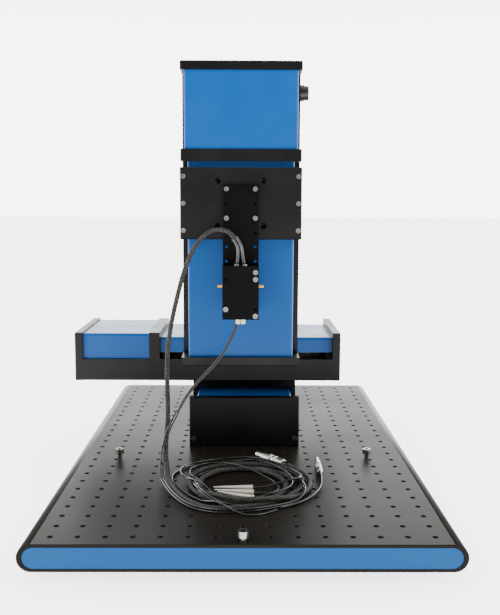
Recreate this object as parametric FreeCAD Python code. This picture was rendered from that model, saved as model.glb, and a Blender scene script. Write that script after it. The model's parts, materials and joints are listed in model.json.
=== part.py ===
import FreeCAD, Part
import math
import os

V = FreeCAD.Vector

# The model is laid out in the plate's own frame, in mm: X to the right from the middle column of
# holes, Y to the back from the front row of holes, Z up from the plate's top face. The last section
# moves everything to the origin, which is the middle of the object's bottom.

# Base plate
plate_width = 404.0
plate_depth = 640.0
plate_thickness = 26.0
front_margin = 17.0
hole_pitch = 25.0
hole_columns = 15
hole_rows = 25
tap_radius = 2.5
tap_depth = 16.0
grid_hole_sides = 6

# Strip let into the plate's front face
strip_border = 3.0
strip_end_border = 5.0
strip_pocket_depth = 1.0
strip_thickness = 0.7
strip_gap = 0.2

# Feet
foot_radius = 24.0
foot_top_radius = 21.0
foot_height = 12.0
foot_rim = 3.0
foot_side_inset = 84.0
foot_end_inset = 58.0
foot_recess_radius = 7.0
foot_recess_depth = 5.0

# Cap screws that stand in the plate
clamp_screw_side = 147.5
clamp_screw_back = 236.0
clamp_screw_front = -9.0
cap_head_radius = 5.0
cap_head_height = 6.0
cap_neck = 4.0
cap_thread_depth = 12.0
thread_gap = 0.05
socket_radius = 2.4
socket_depth = 3.0

# Linear stage. Its own frame has u along the travel from the idle end, v across and w up from
# the underside of the bed.
stage_width = 136.0
stage_height = 62.5
end_plate_thickness = 10.0
travel_bay = 223.5
bulkhead_thickness = 13.5
motor_bay = 86.0
edge_chamfer = 1.0
bed_floor = 10.0
bed_wall = 10.0
bed_wall_height = 28.0
bulkhead_gap = 0.2
sheet = 1.2
cover_bend = 3.0
motor_cover_width = 128.0
motor_cover_top = 60.7
travel_cover_width = 121.0
travel_cover_top = 55.5
travel_cover_low = 36.0

# Carriage, saddle, rails and drive of a stage
carriage_length = 80.0
carriage_top = 72.5
carriage_plate_thickness = 15.0
arm_thickness = 6.2
wing_low = 29.0
wing_thickness = 6.0
carriage_screw_inset = 3.6
carriage_screw_pitch = 30.0
carriage_hole_pitch = 50.0
carriage_hole_chamfer = 1.3
carriage_hole_depth = 12.0
rail_offset = 42.0
rail_width = 12.0
rail_height = 8.0
rail_end_gap = 6.0
runner_wall = 6.7
runner_gap = 0.3
nut_half_width = 24.0
nut_low = 18.0
nut_top = 50.0
screw_axis_height = 32.0
screw_radius = 5.0
screw_gap = 0.1
journal_radius = 4.0
journal_gap = 0.05
journal_depth = 6.0
shaft_depth = 30.0
end_gap = 0.5
motor_size = 42.3
motor_corner = 4.0
motor_length = 48.0
pilot_radius = 11.0
pilot_height = 2.0
pilot_gap = 0.1
encoder_radius = 15.0
encoder_length = 18.0

# Round connector in the wall of the motor bay
connector_from_bulkhead = 67.0
connector_height = 15.0
connector_nut_radius = 9.3
connector_rim_radius = 8.3
connector_step = 5.0
connector_body_radius = 6.0
connector_bore_radius = 5.0
connector_inside = 4.0
connector_gap = 0.1

# Small screws: a head with a socket, in a counterbore
m3_head_radius = 2.75
m3_head_height = 2.6
m3_thread_radius = 1.5
m3_thread_length = 12.0
m3_socket_radius = 1.3
m4_head_radius = 3.5
m4_head_height = 2.8
m4_thread_radius = 2.0
m4_thread_length = 18.0
m4_socket_radius = 1.5
m6_washer_gap = 0.2
counterbore_gap = 0.25
head_sink = 0.4
small_socket_depth = 1.5
end_screw_side = 63.0
end_screw_height = 10.6

# Where the stages stand
rear_gap = 3.0
y_stage_x = 1.0
y_rest = -2.75
x_stage_shift = 2.4
x_rest = 6.95
z_rest = 64.55
z_stage_drop = 31.0
bracket_reach = 48.5

# Angle bracket behind the upright stage
bracket_width = 110.0
bracket_wall = 12.0
bracket_height = 200.0
bracket_fillet = 6.0
gusset_thickness = 10.0
gusset_inset = 4.0
gusset_top_gap = 12.0
gusset_back_gap = 30.0
bracket_row_low = 70.0
bracket_row_pitch = 90.0
bracket_column_pitch = 50.0

# Probe bar
bar_width = 40.0
bar_thickness = 8.0
bar_rows = 9
bar_pitch = 16.0
bar_margin = 4.0
bar_above_centre = 20.0
bar_hole_radius = 1.7
bar_edge = 0.4
bar_fixed_rows = (0, 2)

# Head box
head_height = 58.4
head_depth = 24.0
head_top_below_bar_top = 87.8
head_edge = 0.6
head_screw_inset = 3.8
head_upper_screw = 14.0
head_lower_screw = 11.6
head_corner_screw_upper = 6.6
head_corner_screw_lower = 3.8
spare_hole_radius = 1.6
spare_hole_depth = 3.0
head_thread_length = 10.0

# Jacks, collar and cable outlets of the head
jack_radius = 1.9
jack_rim_radius = 2.2
jack_rim = 1.2
jack_length = 5.5
jack_bore_radius = 1.0
jack_bore_depth = 4.0
jack_below_top = 22.9
collar_radius = 5.7
collar_height = 5.8
collar_bore_radius = 3.0
collar_slit = 1.0
probe_bore_depth = 20.0
probe_bore_gap = 0.3
outlet_spread = 8.7
outlet_radius = 2.8
outlet_height = 1.5
outlet_bore_radius = 1.6
lead_outlet_side = -4.6
lead_outlet_back = 19.6
lead_outlet_radius = 2.6
lead_outlet_height = 3.0
tail_radius = 1.9
tail_gap = 1.95
tail_rise = 12.0
tail_lead_in = 6.0

# Cables
sleeve_radius = 2.6
lead_radius = 2.1
plug_lead_radius = 1.3
plug_lead_straight = 6.0
coil_height = 14.0
coil_hole_length = 42.0
coil_hole_width = 40.0
join_gap = 0.3

# Plugs and clips
plug_angle = -39.8
plug_tip_x = 14.8
plug_tip_y = 230.0
plug_rise = 5.5
small_plug_angle = -92.7
small_plug_tip_x = 85.1
small_plug_tip_y = 213.6
small_plug_rise = 4.0
small_plug_length = 60.0
clip_length = 42.0
clip_tip_radius = 0.7
clip_tail_radius = 2.6
clip_rise = 2.8


# Derived sizes
plate_front_y = -front_margin
plate_rear_y = plate_front_y + plate_depth
plate_radius = plate_thickness / 2
stage_length = 2 * end_plate_thickness + travel_bay + bulkhead_thickness + motor_bay
bay_centre = end_plate_thickness + travel_bay / 2
bulkhead_u = end_plate_thickness + travel_bay
motor_bay_u = bulkhead_u + bulkhead_thickness
motor_end_u = motor_bay_u + motor_bay
half_width = stage_width / 2
carriage_low = carriage_top - carriage_plate_thickness
wing_top = wing_low + wing_thickness
y_stage_y = plate_rear_y - rear_gap - stage_length
y_centre = y_stage_y + bay_centre + y_rest
x_stage_z = carriage_top
x_bay_centre = y_stage_x + x_stage_shift
x_stage_x = x_bay_centre + bay_centre
x_centre = x_bay_centre - x_rest
x_top_z = x_stage_z + carriage_top
x_front_y = y_centre - half_width
z_back_y = x_front_y - bracket_reach
z_stage_z = x_top_z - z_stage_drop
z_centre = z_stage_z + bay_centre + z_rest
z_plate_y = z_back_y - carriage_top
bar_front_y = z_plate_y - bar_thickness
bar_top_z = z_centre + bar_above_centre
bar_length = (bar_rows - 1) * bar_pitch + 2 * bar_margin
head_top_z = bar_top_z - head_top_below_bar_top
head_low_z = head_top_z - head_height
head_front_y = bar_front_y - head_depth
head_middle_y = bar_front_y - head_depth / 2


def block(x0, x1, y0, y1, z0, z1):
    return Part.makeBox(x1 - x0, y1 - y0, z1 - z0, V(x0, y0, z0))


def rod(radius, start, direction, length):
    return Part.makeCylinder(radius, length, start, direction)


def flat_face(points):
    return Part.Face(Part.makePolygon(points + [points[0]]))


def mirrored(half):
    """Closes a half outline of (v, w) points by its mirror image in v = 0."""
    return half + [(-v, w) for v, w in reversed(half)]


def section_prism(outline, start, length):
    """A solid of one (v, w) section along u."""
    return flat_face([V(start, v, w) for v, w in outline]).extrude(V(length, 0, 0))


def long_edges(shape, test):
    return [edge for edge in shape.Edges if test(edge)]


def all_points(edge, test):
    return all(test(vertex.Point) for vertex in edge.Vertexes)


def near(a, b):
    return abs(a - b) < 1e-6


def socket_screw(head_radius, head_height, thread_radius, thread_length, socket, socket_deep, seat, out):
    """A screw whose head stands on the point seat and points along out, with a six-sided socket."""
    head = rod(head_radius, seat, out, head_height)
    thread = rod(thread_radius, seat - out * thread_length, out, thread_length + head_height / 2)
    turn = FreeCAD.Rotation(V(0, 0, 1), out)
    middle = seat + out * (head_height - socket_deep)
    corners = [V(socket * math.cos(math.radians(60 * i)), socket * math.sin(math.radians(60 * i)), 0)
               for i in range(6)]
    hexagon = flat_face([middle + turn.multVec(corner) for corner in corners])
    return head.fuse(thread).removeSplitter().cut(hexagon.extrude(out * socket_deep))


def m3_screw(seat, out):
    return socket_screw(m3_head_radius, m3_head_height, m3_thread_radius, m3_thread_length,
                        m3_socket_radius, small_socket_depth, seat, out)


def m4_screw(seat, out):
    return socket_screw(m4_head_radius, m4_head_height, m4_thread_radius, m4_thread_length,
                        m4_socket_radius, small_socket_depth, seat, out)


def m6_screw(seat, out, thread_length):
    return socket_screw(cap_head_radius, cap_head_height, tap_radius - thread_gap, thread_length,
                        socket_radius, socket_depth, seat, out)


def sunk_hole(head_radius, head_height, thread_radius, thread_length, surface, out):
    """The counterbore and hole that a sunk screw needs, from its surface point inwards."""
    sink = head_height + head_sink
    seat = surface - out * sink
    bore = rod(head_radius + counterbore_gap, seat, out, sink)
    hole = rod(thread_radius + thread_gap, seat - out * thread_length, out, thread_length)
    return bore.fuse(hole)


def sunk_seat(head_height, surface, out):
    return surface - out * (head_height + head_sink)


def capsule_face(half_length, radius, y, z):
    """An upright face with straight top and bottom and half-round ends."""
    low = z - radius
    high = z + radius
    edges = [
        Part.makeLine(V(-half_length + radius, y, low), V(half_length - radius, y, low)),
        Part.Arc(V(half_length - radius, y, low), V(half_length, y, z),
                 V(half_length - radius, y, high)).toShape(),
        Part.makeLine(V(half_length - radius, y, high), V(-half_length + radius, y, high)),
        Part.Arc(V(-half_length + radius, y, high), V(-half_length, y, z),
                 V(-half_length + radius, y, low)).toShape(),
    ]
    return Part.Face(Part.Wire(edges))


# Base plate, strip, feet and standing screws

def clamp_screw_places():
    return [V(-clamp_screw_side, clamp_screw_back, 0), V(clamp_screw_side, clamp_screw_back, 0),
            V(0, clamp_screw_front, 0)]


def mount_hole_places():
    """The corners of the hole grid, whose walls are round."""
    side = (hole_columns - 1) * hole_pitch / 2
    back = (hole_rows - 1) * hole_pitch
    return [V(x, y, 0) for x in (-side, side) for y in (0, back)]


def grid_hole(x, y):
    corners = [V(x + tap_radius * math.cos(2 * math.pi * i / grid_hole_sides),
                 y + tap_radius * math.sin(2 * math.pi * i / grid_hole_sides), -tap_depth)
               for i in range(grid_hole_sides)]
    return flat_face(corners).extrude(V(0, 0, tap_depth))


def base_plate():
    middle_z = -plate_radius
    body = capsule_face(plate_width / 2, plate_radius, plate_front_y, middle_z)
    body = body.extrude(V(0, plate_depth, 0))
    pocket = capsule_face(plate_width / 2 - strip_end_border, plate_radius - strip_border,
                          plate_front_y, middle_z)
    body = body.cut(pocket.extrude(V(0, strip_pocket_depth, 0)))
    round_places = mount_hole_places()
    cutters = [rod(tap_radius, place - V(0, 0, tap_depth), V(0, 0, 1), tap_depth)
               for place in round_places + clamp_screw_places()]
    for column in range(hole_columns):
        for row in range(hole_rows):
            x = (column - (hole_columns - 1) / 2) * hole_pitch
            y = row * hole_pitch
            if not any(near(place.x, x) and near(place.y, y) for place in round_places):
                cutters.append(grid_hole(x, y))
    return body.cut(Part.makeCompound(cutters))


def front_strip():
    face = capsule_face(plate_width / 2 - strip_end_border - strip_gap,
                        plate_radius - strip_border - strip_gap,
                        plate_front_y + strip_pocket_depth - strip_thickness, -plate_radius)
    return face.extrude(V(0, strip_thickness, 0))


def feet():
    solids = []
    side = plate_width / 2 - foot_side_inset
    for x in (-side, side):
        for y in (plate_front_y + foot_end_inset, plate_rear_y - foot_end_inset):
            top = -plate_thickness
            low = top - foot_height
            outline = [V(0, 0, top), V(foot_top_radius, 0, top), V(foot_radius, 0, low + foot_rim),
                       V(foot_radius, 0, low), V(foot_recess_radius, 0, low),
                       V(foot_recess_radius, 0, low + foot_recess_depth), V(0, 0, low + foot_recess_depth)]
            disc = flat_face(outline).revolve(V(0, 0, 0), V(0, 0, 1), 360)
            disc.translate(V(x, y, 0))
            solids.append(disc)
    return solids


def base_screws():
    return [m6_screw(place + V(0, 0, cap_neck), V(0, 0, 1), cap_neck + cap_thread_depth)
            for place in clamp_screw_places()]


# One linear stage, in its own u, v, w frame

def end_screw_points(u):
    return [V(u, side, end_screw_height) for side in (-end_screw_side, end_screw_side)]


def bed():
    wall_in = half_width - bed_wall
    outline = mirrored([(0, 0), (half_width - edge_chamfer, 0), (half_width, edge_chamfer),
                        (half_width, bed_wall_height), (wall_in, bed_wall_height), (wall_in, bed_floor)])
    channel = section_prism(outline, end_plate_thickness, stage_length - 2 * end_plate_thickness)
    holes = [rod(m4_thread_radius + thread_gap, point, V(1, 0, 0), m4_thread_length)
             for u in (end_plate_thickness, motor_end_u - m4_thread_length) for point in end_screw_points(u)]
    outside = V(motor_bay_u + connector_from_bulkhead, -half_width, connector_height)
    holes.append(rod(connector_body_radius + connector_gap, outside, V(0, 1, 0),
                     bed_wall + connector_inside + end_gap))
    return channel.cut(Part.makeCompound(holes))


def end_plate(inner_u, outward):
    """An end plate from its inner face, with the edges of its outer face chamfered."""
    outer_u = inner_u + outward * end_plate_thickness
    plate = block(min(inner_u, outer_u), max(inner_u, outer_u), -half_width, half_width, 0, stage_height)
    rim = long_edges(plate, lambda edge: all_points(edge, lambda point: near(point.x, outer_u)))
    plate = plate.makeChamfer(edge_chamfer, rim)
    out = V(outward, 0, 0)
    for point in end_screw_points(outer_u):
        plate = plate.cut(sunk_hole(m4_head_radius, m4_head_height, m4_thread_radius, m4_thread_length,
                                    point, out))
    return plate


def end_plates():
    idle = end_plate(end_plate_thickness, -1)
    depth = journal_depth + end_gap
    journal = rod(journal_radius + journal_gap, V(end_plate_thickness - depth, 0, screw_axis_height),
                  V(1, 0, 0), depth)
    return [idle.cut(journal), end_plate(motor_end_u, 1)]


def end_screws():
    screws = []
    for u, outward in ((0, -1), (stage_length, 1)):
        out = V(outward, 0, 0)
        screws += [m4_screw(sunk_seat(m4_head_height, point, out), out) for point in end_screw_points(u)]
    return screws


def bulkhead():
    wall_in = half_width - bed_wall - bulkhead_gap
    outline = mirrored([(0, bed_floor), (wall_in, bed_floor), (wall_in, bed_wall_height),
                        (half_width, bed_wall_height), (half_width, stage_height - edge_chamfer),
                        (half_width - edge_chamfer, stage_height)])
    body = section_prism(outline, bulkhead_u, bulkhead_thickness)
    bore = rod(screw_radius + 1, V(bulkhead_u, 0, screw_axis_height), V(1, 0, 0), bulkhead_thickness)
    recess_depth = pilot_height + end_gap
    recess = rod(pilot_radius + pilot_gap, V(motor_bay_u - recess_depth, 0, screw_axis_height), V(1, 0, 0),
                 recess_depth)
    return body.cut(bore.fuse(recess))


def folded_cover(width, low, top, start, length):
    """A sheet folded down on both sides, with rounded folds."""
    def rounded(side, high, radius):
        body = block(start, start + length, -side, side, low, high)
        folds = long_edges(body, lambda edge: all_points(edge, lambda point: near(point.z, high))
                           and all_points(edge, lambda point: near(abs(point.y), side))
                           and near(edge.Length, length))
        return body.makeFillet(radius, folds)
    outside = rounded(width / 2, top, cover_bend)
    inside = rounded(width / 2 - sheet, top - sheet, cover_bend - sheet)
    return outside.cut(inside)


def motor_cover():
    return folded_cover(motor_cover_width, bed_wall_height, motor_cover_top, motor_bay_u, motor_bay)


def travel_cover():
    return folded_cover(travel_cover_width, travel_cover_low, travel_cover_top, end_plate_thickness,
                        travel_bay)


def guide_rails():
    start = end_plate_thickness + rail_end_gap
    length = travel_bay - 2 * rail_end_gap
    return [block(start, start + length, middle - rail_width / 2, middle + rail_width / 2,
                  bed_floor, bed_floor + rail_height) for middle in (-rail_offset, rail_offset)]


def motor():
    half = motor_size / 2
    low = screw_axis_height - half
    body = block(motor_bay_u, motor_bay_u + motor_length, -half, half, low, low + motor_size)
    corners = long_edges(body, lambda edge: near(edge.Length, motor_length)
                         and all_points(edge, lambda point: near(abs(point.y), half)))
    body = body.makeChamfer(motor_corner, corners)
    axis = V(1, 0, 0)
    body = body.fuse(rod(pilot_radius, V(motor_bay_u - pilot_height, 0, screw_axis_height), axis,
                         2 * pilot_height))
    body = body.fuse(rod(encoder_radius, V(motor_bay_u + motor_length, 0, screw_axis_height), axis,
                         encoder_length))
    shaft = rod(journal_radius + journal_gap, V(motor_bay_u - pilot_height, 0, screw_axis_height), axis,
                pilot_height + shaft_depth + end_gap)
    return body.cut(shaft)


def lead_screw():
    axis = V(1, 0, 0)
    journal = rod(journal_radius, V(end_plate_thickness - journal_depth, 0, screw_axis_height), axis,
                  journal_depth + 2 * end_gap)
    start = end_plate_thickness + end_gap
    end = motor_bay_u - pilot_height - end_gap
    body = rod(screw_radius, V(start, 0, screw_axis_height), axis, end - start)
    shaft = rod(journal_radius, V(end - end_gap, 0, screw_axis_height), axis,
                motor_bay_u + shaft_depth - end + end_gap)
    return body.fuse(journal).fuse(shaft).removeSplitter()


def connector():
    """Turned about the wall hole's axis: a nut, a rim and the body through the wall."""
    face = half_width
    inside = half_width - bed_wall - connector_inside
    step = face + connector_step
    end = step + connector_step
    outline = [(connector_bore_radius, inside), (connector_body_radius, inside), (connector_body_radius, face),
               (connector_nut_radius, face), (connector_nut_radius, step), (connector_rim_radius, step),
               (connector_rim_radius, end), (connector_bore_radius, end)]
    ring = flat_face([V(radius, -along, 0) for radius, along in outline]).revolve(V(0, 0, 0), V(0, 1, 0), 360)
    insert = rod(connector_bore_radius, V(0, -inside, 0), V(0, -1, 0), step - inside)
    body = ring.fuse(insert).removeSplitter()
    body.translate(V(motor_bay_u + connector_from_bulkhead, 0, connector_height))
    return body


def carriage_screw_points(centre):
    side = half_width - carriage_screw_inset
    return [V(centre + along * carriage_screw_pitch, across, carriage_top)
            for along in (-1, 0, 1) for across in (-side, side)]


def carriage_hole_points(centre):
    half = carriage_hole_pitch / 2
    return [V(centre + along, across, carriage_top) for along in (-half, half) for across in (-half, half)]


def carriage_plate(centre):
    half = carriage_length / 2
    plate = block(centre - half, centre + half, -half_width, half_width, carriage_low, carriage_top)
    rim = long_edges(plate, lambda edge: all_points(edge, lambda point: near(point.z, carriage_top)))
    plate = plate.makeChamfer(edge_chamfer, rim)
    up = V(0, 0, 1)
    cutters = [sunk_hole(m3_head_radius, m3_head_height, m3_thread_radius, carriage_plate_thickness,
                         point, up) for point in carriage_screw_points(centre)]
    for point in carriage_hole_points(centre):
        cutters.append(rod(tap_radius, point - up * carriage_hole_depth, up, carriage_hole_depth))
        cutters.append(Part.makeCone(tap_radius, tap_radius + carriage_hole_chamfer, carriage_hole_chamfer,
                                     point - up * carriage_hole_chamfer, up))
    for cutter in cutters:
        plate = plate.cut(cutter)
    return plate


def carriage_arms(centre):
    half = carriage_length / 2
    arms = []
    for side in (-1, 1):
        inner = side * (half_width - arm_thickness)
        outer = side * half_width
        arm = block(centre - half, centre + half, min(inner, outer), max(inner, outer), wing_top,
                    carriage_low)
        depth = m3_thread_length + m3_head_height + head_sink - carriage_plate_thickness + end_gap
        for point in carriage_screw_points(centre):
            if point.y * side > 0 and depth > 0:
                arm = arm.cut(rod(m3_thread_radius + thread_gap, V(point.x, point.y, carriage_low - depth),
                                  V(0, 0, 1), depth))
        arms.append(arm)
    return arms


def carriage_screws(centre):
    up = V(0, 0, 1)
    return [m3_screw(sunk_seat(m3_head_height, point, up), up) for point in carriage_screw_points(centre)]


def slide_saddle(centre):
    """One section along the travel: nut block, wings that reach out under the cover, runners."""
    groove_in = rail_offset - rail_width / 2 - runner_gap
    groove_out = rail_offset + rail_width / 2 + runner_gap
    groove_top = bed_floor + rail_height + runner_gap
    runner_low = bed_floor + rail_height / 2
    runner_in = groove_in - runner_wall
    runner_out = groove_out + runner_wall
    outline = mirrored([(0, nut_top), (nut_half_width, nut_top), (nut_half_width, wing_top),
                        (half_width, wing_top), (half_width, wing_low), (runner_out, wing_low),
                        (runner_out, runner_low), (groove_out, runner_low), (groove_out, groove_top),
                        (groove_in, groove_top),
                        (groove_in, runner_low), (runner_in, runner_low), (runner_in, wing_low),
                        (nut_half_width, wing_low), (nut_half_width, nut_low), (0, nut_low)])
    start = centre - carriage_length / 2
    body = section_prism(outline, start, carriage_length)
    bore = rod(screw_radius + screw_gap, V(start, 0, screw_axis_height), V(1, 0, 0), carriage_length)
    return body.cut(bore)


def stage_pieces(rest):
    centre = bay_centre + rest
    return {
        "bed": [bed()],
        "end_plates": end_plates(),
        "bulkhead": [bulkhead()],
        "motor_cover": [motor_cover()],
        "travel_cover": [travel_cover()],
        "guide_rails": guide_rails(),
        "motor": [motor()],
        "lead_screw": [lead_screw()],
        "connector": [connector()],
        "carriage_plate": [carriage_plate(centre)],
        "carriage_arms": carriage_arms(centre),
        "slide_saddle": [slide_saddle(centre)],
    }


def placed(shapes, place):
    """Copies of the shapes, moved from a stage's frame to the plate's."""
    copies = []
    for shape in shapes:
        copy = shape.copy()
        copy.Placement = place.multiply(copy.Placement)
        copies.append(copy)
    return copies


def stage_place(origin, along, up):
    across = up.cross(along)
    return FreeCAD.Placement(origin, FreeCAD.Rotation(along, across, up, "XYZ"))


# Angle bracket, with the upright stage in front and the left-right carriage below

def bracket_back_y():
    return x_front_y + stage_width


def foot_screw_points():
    half = carriage_hole_pitch / 2
    return [V(x_centre + x, y_centre + y, x_top_z + bracket_wall)
            for x in (-half, half) for y in (-half, half)]


def upright_screw_points():
    back = z_back_y + bracket_wall
    return [V(x_centre + side * bracket_column_pitch / 2, back,
              z_stage_z + bracket_row_low + row * bracket_row_pitch) for side in (-1, 1) for row in (0, 1)]


def angle_bracket():
    left = x_centre - bracket_width / 2
    wall_back = z_back_y + bracket_wall
    top = z_stage_z + bracket_height
    foot_top = x_top_z + bracket_wall
    outline = [V(left, z_back_y, z_stage_z), V(left, wall_back, z_stage_z), V(left, wall_back, x_top_z),
               V(left, bracket_back_y(), x_top_z), V(left, bracket_back_y(), foot_top),
               V(left, wall_back, foot_top), V(left, wall_back, top), V(left, z_back_y, top)]
    body = flat_face(outline).extrude(V(bracket_width, 0, 0))
    inner = long_edges(body, lambda edge: near(edge.Length, bracket_width)
                       and all_points(edge, lambda point: near(point.y, wall_back))
                       and all_points(edge, lambda point: near(point.z, foot_top) or near(point.z, x_top_z)))
    body = body.makeFillet(bracket_fillet, inner)
    for x in (left + gusset_inset, left + bracket_width - gusset_inset - gusset_thickness):
        rib = flat_face([V(x, wall_back, foot_top), V(x, bracket_back_y() - gusset_back_gap, foot_top),
                         V(x, wall_back, top - gusset_top_gap)])
        body = body.fuse(rib.extrude(V(gusset_thickness, 0, 0)))
    body = body.removeSplitter()
    hole = tap_radius + m6_washer_gap
    for point in foot_screw_points():
        body = body.cut(rod(hole, point - V(0, 0, bracket_wall), V(0, 0, 1), bracket_wall))
    for point in upright_screw_points():
        body = body.cut(rod(hole, point - V(0, bracket_wall, 0), V(0, 1, 0), bracket_wall))
    return body


def bracket_screws():
    reach = carriage_plate_thickness / 2
    screws = [m6_screw(point, V(0, 0, 1), bracket_wall + reach) for point in foot_screw_points()]
    screws += [m6_screw(point, V(0, 1, 0), bracket_wall) for point in upright_screw_points()]
    return screws


# Probe bar and head, on the upright carriage

def bar_holes():
    side = (bar_width - 2 * bar_margin) / 2
    return [(row, V(x_centre + x, bar_front_y, bar_top_z - bar_margin - row * bar_pitch))
            for row in range(bar_rows) for x in (-side, side)]


def probe_bar():
    half = bar_width / 2
    body = block(x_centre - half, x_centre + half, bar_front_y, z_plate_y, bar_top_z - bar_length, bar_top_z)
    rim = long_edges(body, lambda edge: all_points(edge, lambda point: near(point.y, bar_front_y)))
    body = body.makeChamfer(bar_edge, rim)
    holes = [rod(bar_hole_radius, point, V(0, 1, 0), bar_thickness) for row, point in bar_holes()]
    return body.cut(Part.makeCompound(holes))


def bar_screws():
    out = V(0, -1, 0)
    return [socket_screw(m3_head_radius, m3_head_height, m3_thread_radius, bar_thickness, m3_socket_radius,
                         small_socket_depth, point, out)
            for row, point in bar_holes() if row in bar_fixed_rows]


def head_screw_points():
    """Screws with heads on the head's front face, sunk ones and spare holes, two of each."""
    left = x_centre - bar_width / 2 + head_screw_inset
    right = x_centre + bar_width / 2 - head_screw_inset
    proud = [V(right, head_front_y, head_top_z - head_upper_screw),
             V(left, head_front_y, head_low_z + head_lower_screw)]
    sunk = [V(right, head_front_y, head_top_z - head_corner_screw_upper),
            V(right, head_front_y, head_low_z + head_corner_screw_lower)]
    spare = [V(left, head_front_y, head_top_z - head_upper_screw),
             V(right, head_front_y, head_low_z + head_lower_screw)]
    return proud, sunk, spare


def jack_height():
    return head_top_z - jack_below_top


def head_box():
    half = bar_width / 2
    body = block(x_centre - half, x_centre + half, head_front_y, bar_front_y, head_low_z, head_top_z)
    rim = long_edges(body, lambda edge: all_points(edge, lambda point: near(point.y, head_front_y)))
    body = body.makeChamfer(head_edge, rim)
    out = V(0, -1, 0)
    proud, sunk, spare = head_screw_points()
    for point in proud:
        body = body.cut(rod(m3_thread_radius + thread_gap, point - out * head_thread_length, out,
                            head_thread_length))
    for point in sunk:
        body = body.cut(sunk_hole(m3_head_radius, m3_head_height, m3_thread_radius, head_thread_length,
                                  point, out))
    for point in spare:
        body = body.cut(rod(spare_hole_radius, point - out * spare_hole_depth, out, spare_hole_depth))
    probe_hole = rod(collar_bore_radius + probe_bore_gap, V(x_centre, head_middle_y, head_low_z),
                     V(0, 0, 1), probe_bore_depth)
    return body.cut(probe_hole)


def head_screws():
    out = V(0, -1, 0)
    proud, sunk, spare = head_screw_points()
    seats = proud + [sunk_seat(m3_head_height, point, out) for point in sunk]
    return [socket_screw(m3_head_radius, m3_head_height, m3_thread_radius, head_thread_length,
                         m3_socket_radius, small_socket_depth, seat, out) for seat in seats]


def head_jacks():
    """Turned brass jacks on both sides of the head."""
    solids = []
    for side in (-1, 1):
        face_x = x_centre + side * bar_width / 2
        outline = [(0, 0), (jack_rim_radius, 0), (jack_rim_radius, jack_rim), (jack_radius, jack_rim),
                   (jack_radius, jack_length), (jack_bore_radius, jack_length),
                   (jack_bore_radius, jack_length - jack_bore_depth), (0, jack_length - jack_bore_depth)]
        points = [V(face_x + side * along, head_middle_y + radius, jack_height())
                  for radius, along in outline]
        solids.append(flat_face(points).revolve(V(0, head_middle_y, jack_height()), V(1, 0, 0), 360))
    return solids


def probe_collar():
    """A clamping ring with a slit in front."""
    low = head_low_z - collar_height
    centre = V(x_centre, head_middle_y, low)
    up = V(0, 0, 1)
    slit = block(x_centre - collar_slit / 2, x_centre + collar_slit / 2, head_middle_y - 2 * collar_radius,
                 head_middle_y, low, head_low_z)
    ring = rod(collar_radius, centre, up, collar_height)
    return ring.cut(rod(collar_bore_radius, centre, up, collar_height)).cut(slit)


def outlet_points():
    return [V(x_centre + side * outlet_spread / 2, head_middle_y, head_top_z) for side in (-1, 1)]


def lead_outlet_point():
    return V(x_centre + lead_outlet_side, head_front_y + lead_outlet_back, head_low_z)


def head_collars():
    outlets = [rod(outlet_radius, point, V(0, 0, 1), outlet_height) for point in outlet_points()]
    return [probe_collar()] + outlets


# Cables: straight runs joined by tangent arcs

def tangent_path(points):
    """Edges of a path whose corners are arcs, its length, and the arcs' radii."""
    edges = []
    radii = []
    length = 0.0
    start = points[0]
    for before, corner, after in zip(points, points[1:], points[2:]):
        back = before - corner
        ahead = after - corner
        reach = 0.45 * min(back.Length, ahead.Length)
        turn = math.pi - back.getAngle(ahead)
        radius = reach / math.tan(turn / 2)
        back.normalize()
        ahead.normalize()
        enter = corner + back * reach
        leave = corner + ahead * reach
        inward = back + ahead
        inward.normalize()
        middle = corner + inward * (radius / math.cos(turn / 2) - radius)
        edges.append(Part.LineSegment(start, enter).toShape())
        edges.append(Part.Arc(enter, middle, leave).toShape())
        length += (enter - start).Length + radius * turn
        radii.append(radius)
        start = leave
    edges.append(Part.LineSegment(start, points[-1]).toShape())
    length += (points[-1] - start).Length
    return edges, length, radii


def tube(name, points, radius):
    edges, length, radii = tangent_path(points)
    path = Part.Wire(edges)
    direction = points[1] - points[0]
    ring = Part.Wire(Part.makeCircle(radius, points[0], direction))
    solid = path.makePipeShell([ring], True, False)
    wanted = math.pi * radius ** 2 * length
    print(name, "radii", [round(value) for value in radii], "length", round(length),
          "volume ratio", round(solid.Volume / wanted, 4))
    return solid


# Routes, as points chosen along the cables in the plate's frame
sleeve_upper_route = [V(-9.8, 182.3, 262.6), V(-14.0, 181.6, 267.6), V(-20.0, 180.9, 271.0),
                      V(-27.5, 180.0, 272.7), V(-36.2, 179.0, 270.8), V(-45.3, 178.2, 264.3),
                      V(-55.5, 177.6, 251.0), V(-66.0, 177.2, 225.0), V(-73.2, 177.0, 197.5),
                      V(-79.5, 176.8, 170.4), V(-83.6, 176.5, 142.0), V(-84.8, 176.4, 114.0),
                      V(-84.2, 176.6, 88.0)]
sleeve_middle_route = [V(-84.2, 176.6, 88.0), V(-83.7, 176.8, 67.0), V(-85.6, 176.0, 46.0),
                       V(-88.0, 172.0, 27.0), V(-87.4, 162.0, 16.7)]
sleeve_lower_route = [V(-87.4, 162.0, 16.7), V(-86.8, 152.0, 6.4), V(-82.2, 136.0, 2.9), V(-75.5, 116.0, 2.8),
                      V(-66.2, 96.0, 2.8), V(-55.0, 79.5, 2.8), V(-41.0, 66.5, 2.8), V(-26.0, 60.0, 2.8)]
lead_upper_route = [V(-8.15, 194.6, 171.1), V(-8.15, 194.6, 163.0), V(-13.6, 192.3, 152.0),
                    V(-20.0, 189.5, 138.5), V(-29.5, 186.5, 125.0), V(-41.5, 184.0, 112.5),
                    V(-54.0, 180.7, 99.8), V(-64.6, 177.5, 86.3), V(-72.6, 174.9, 71.9)]
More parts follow.
